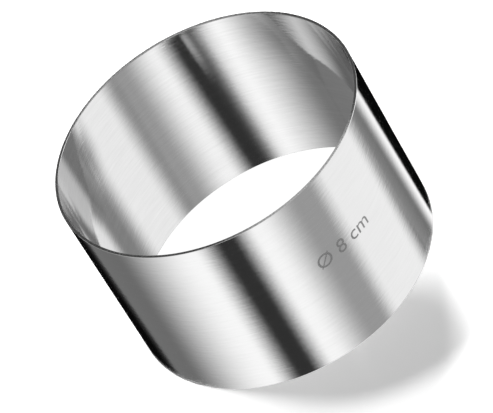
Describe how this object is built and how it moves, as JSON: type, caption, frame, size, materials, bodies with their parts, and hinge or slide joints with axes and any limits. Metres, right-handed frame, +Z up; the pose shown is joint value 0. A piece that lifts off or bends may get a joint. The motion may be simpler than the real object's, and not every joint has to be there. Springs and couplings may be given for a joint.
{
  "type": "baking ring",
  "caption": "Plain round baking ring, open at both ends: a thin rolled steel wall closed by one butt-welded seam, with deburred rims.",
  "frame": {"origin": "centre of the bottom rim, on the ring's axis, in the plane it rests on", "axes": "+Z up along the ring's axis, -Y towards the front, the welded seam near -X"},
  "size_m": [0.08, 0.08, 0.05],
  "materials": {
    "brushed_steel": "brushed round the ring, semi-bright",
    "weld_steel": "ground weld, satin"
  },
  "bodies": {
    "root": {"ring_band": "brushed_steel", "seam_weld": "weld_steel"}
  },
  "joints": []
}
